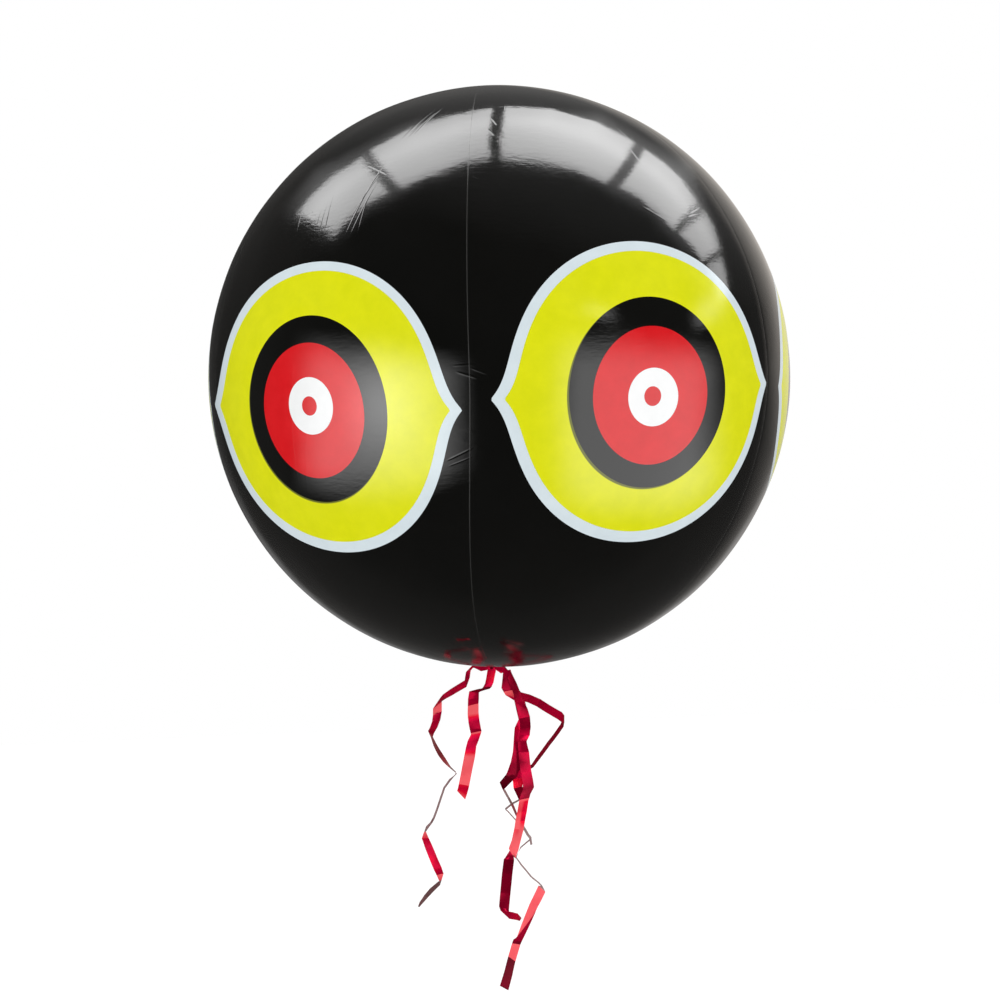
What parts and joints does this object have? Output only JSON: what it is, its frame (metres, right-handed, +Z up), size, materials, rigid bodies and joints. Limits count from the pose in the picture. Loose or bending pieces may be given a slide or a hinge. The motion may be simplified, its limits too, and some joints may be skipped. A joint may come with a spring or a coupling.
{
  "type": "bird scare balloon",
  "caption": "Inflated black vinyl ball printed with staring eyes, hung by a top eyelet tab, with red foil streamers tied beneath to frighten birds off crops",
  "frame": {"origin": "the top of the ball, where the hanging tab is welded", "axes": "+Z up along the ball's own axis, +X to the right and -Y towards the viewer of the picture"},
  "size_m": [0.581, 0.5808, 0.9361],
  "materials": {
    "black_vinyl": "glossy black vinyl film",
    "outline_ink": "pale blue-grey printed ink under gloss",
    "yellow_ink": "lemon yellow printed ink under gloss",
    "red_ink": "bright red printed ink under gloss",
    "white_ink": "white printed ink under gloss",
    "patch_vinyl": "black vinyl, welded patch",
    "tab_vinyl": "thicker black vinyl sheet",
    "nickel": "nickel-plated eyelet",
    "red_foil": "red metallised foil tape, mirror-like",
    "valve_vinyl": "soft black vinyl moulding"
  },
  "bodies": {
    "ball": {"panel_1": "black_vinyl", "panel_2": "black_vinyl", "panel_3": "black_vinyl", "panel_4": "black_vinyl", "panel_5": "black_vinyl", "panel_6": "black_vinyl", "eye_1_outline": "outline_ink", "eye_1_yellow_field": "yellow_ink", "eye_1_red_ring": "red_ink", "eye_1_white_ring": "white_ink", "eye_1_red_dot": "red_ink", "eye_2_outline": "outline_ink", "eye_2_yellow_field": "yellow_ink", "eye_2_red_ring": "red_ink", "eye_2_white_ring": "white_ink", "eye_2_red_dot": "red_ink", "eye_3_outline": "outline_ink", "eye_3_yellow_field": "yellow_ink", "eye_3_red_ring": "red_ink", "eye_3_white_ring": "white_ink", "eye_3_red_dot": "red_ink", "eye_4_outline": "outline_ink", "eye_4_yellow_field": "yellow_ink", "eye_4_red_ring": "red_ink", "eye_4_white_ring": "white_ink", "eye_4_red_dot": "red_ink", "eye_5_outline": "outline_ink", "eye_5_yellow_field": "yellow_ink", "eye_5_red_ring": "red_ink", "eye_5_white_ring": "white_ink", "eye_5_red_dot": "red_ink", "eye_6_outline": "outline_ink", "eye_6_yellow_field": "yellow_ink", "eye_6_red_ring": "red_ink", "eye_6_white_ring": "white_ink", "eye_6_red_dot": "red_ink", "top_patch": "patch_vinyl", "bottom_patch": "patch_vinyl", "valve_flange": "valve_vinyl"},
    "hang_tab": {"hang_tab": "tab_vinyl", "hang_eyelet": "nickel", "hang_washer": "nickel"},
    "streamer_tab": {"streamer_tab": "tab_vinyl", "streamer_knot": "red_foil"},
    "streamer_left": {"streamer_left": "red_foil"},
    "streamer_short": {"streamer_short": "red_foil"},
    "streamer_inner": {"streamer_inner": "red_foil"},
    "streamer_middle": {"streamer_middle": "red_foil"},
    "streamer_long": {"streamer_long": "red_foil"},
    "valve_stem": {"valve_stem": "valve_vinyl", "valve_strap": "valve_vinyl"},
    "valve_plug": {"valve_plug": "valve_vinyl"},
    "valve_flap": {"valve_flap": "valve_vinyl"}
  },
  "joints": [
    {"name": "hang_tab_flex", "type": "hinge", "parent": "ball", "child": "hang_tab", "pos_m": [0, 0, 0.0016], "axis": [1, 0, 0], "range_deg": [0, 80]},
    {"name": "streamer_tab_flex", "type": "hinge", "parent": "ball", "child": "streamer_tab", "pos_m": [-0.0195, 0.014, -0.58001], "axis": [0.9977, 0, -0.0671], "range_deg": [-20, 20]},
    {"name": "streamer_left_swing", "type": "hinge", "parent": "streamer_tab", "child": "streamer_left", "pos_m": [-0.02016, 0.014, -0.58979], "axis": [0, 1, 0], "range_deg": [-50, 10]},
    {"name": "streamer_short_swing", "type": "hinge", "parent": "streamer_tab", "child": "streamer_short", "pos_m": [-0.02016, 0.014, -0.58979], "axis": [0, 1, 0], "range_deg": [-40, 35]},
    {"name": "streamer_inner_swing", "type": "hinge", "parent": "streamer_tab", "child": "streamer_inner", "pos_m": [-0.02016, 0.014, -0.58979], "axis": [0, 1, 0], "range_deg": [-35, 40]},
    {"name": "streamer_middle_swing", "type": "hinge", "parent": "streamer_tab", "child": "streamer_middle", "pos_m": [-0.02016, 0.014, -0.58979], "axis": [0, 1, 0], "range_deg": [-12, 45]},
    {"name": "streamer_long_swing", "type": "hinge", "parent": "streamer_tab", "child": "streamer_long", "pos_m": [-0.02016, 0.014, -0.58979], "axis": [0, 1, 0], "range_deg": [-20, 50]},
    {"name": "valve_stem_slide", "type": "slide", "parent": "ball", "child": "valve_stem", "axis": [-0.2557, 0.6871, -0.6801], "range_m": [0, 0.0118]},
    {"name": "valve_plug_slide", "type": "slide", "parent": "valve_stem", "child": "valve_plug", "axis": [-0.2557, 0.6871, -0.6801], "range_m": [0, 0.012], "deforming": ["valve_strap"]},
    {"name": "valve_flap_hinge", "type": "hinge", "parent": "valve_stem", "child": "valve_flap", "pos_m": [-0.0708, 0.18774, -0.47876], "axis": [-0.9372, -0.3487, 0], "range_deg": [-45, 0]}
  ]
}
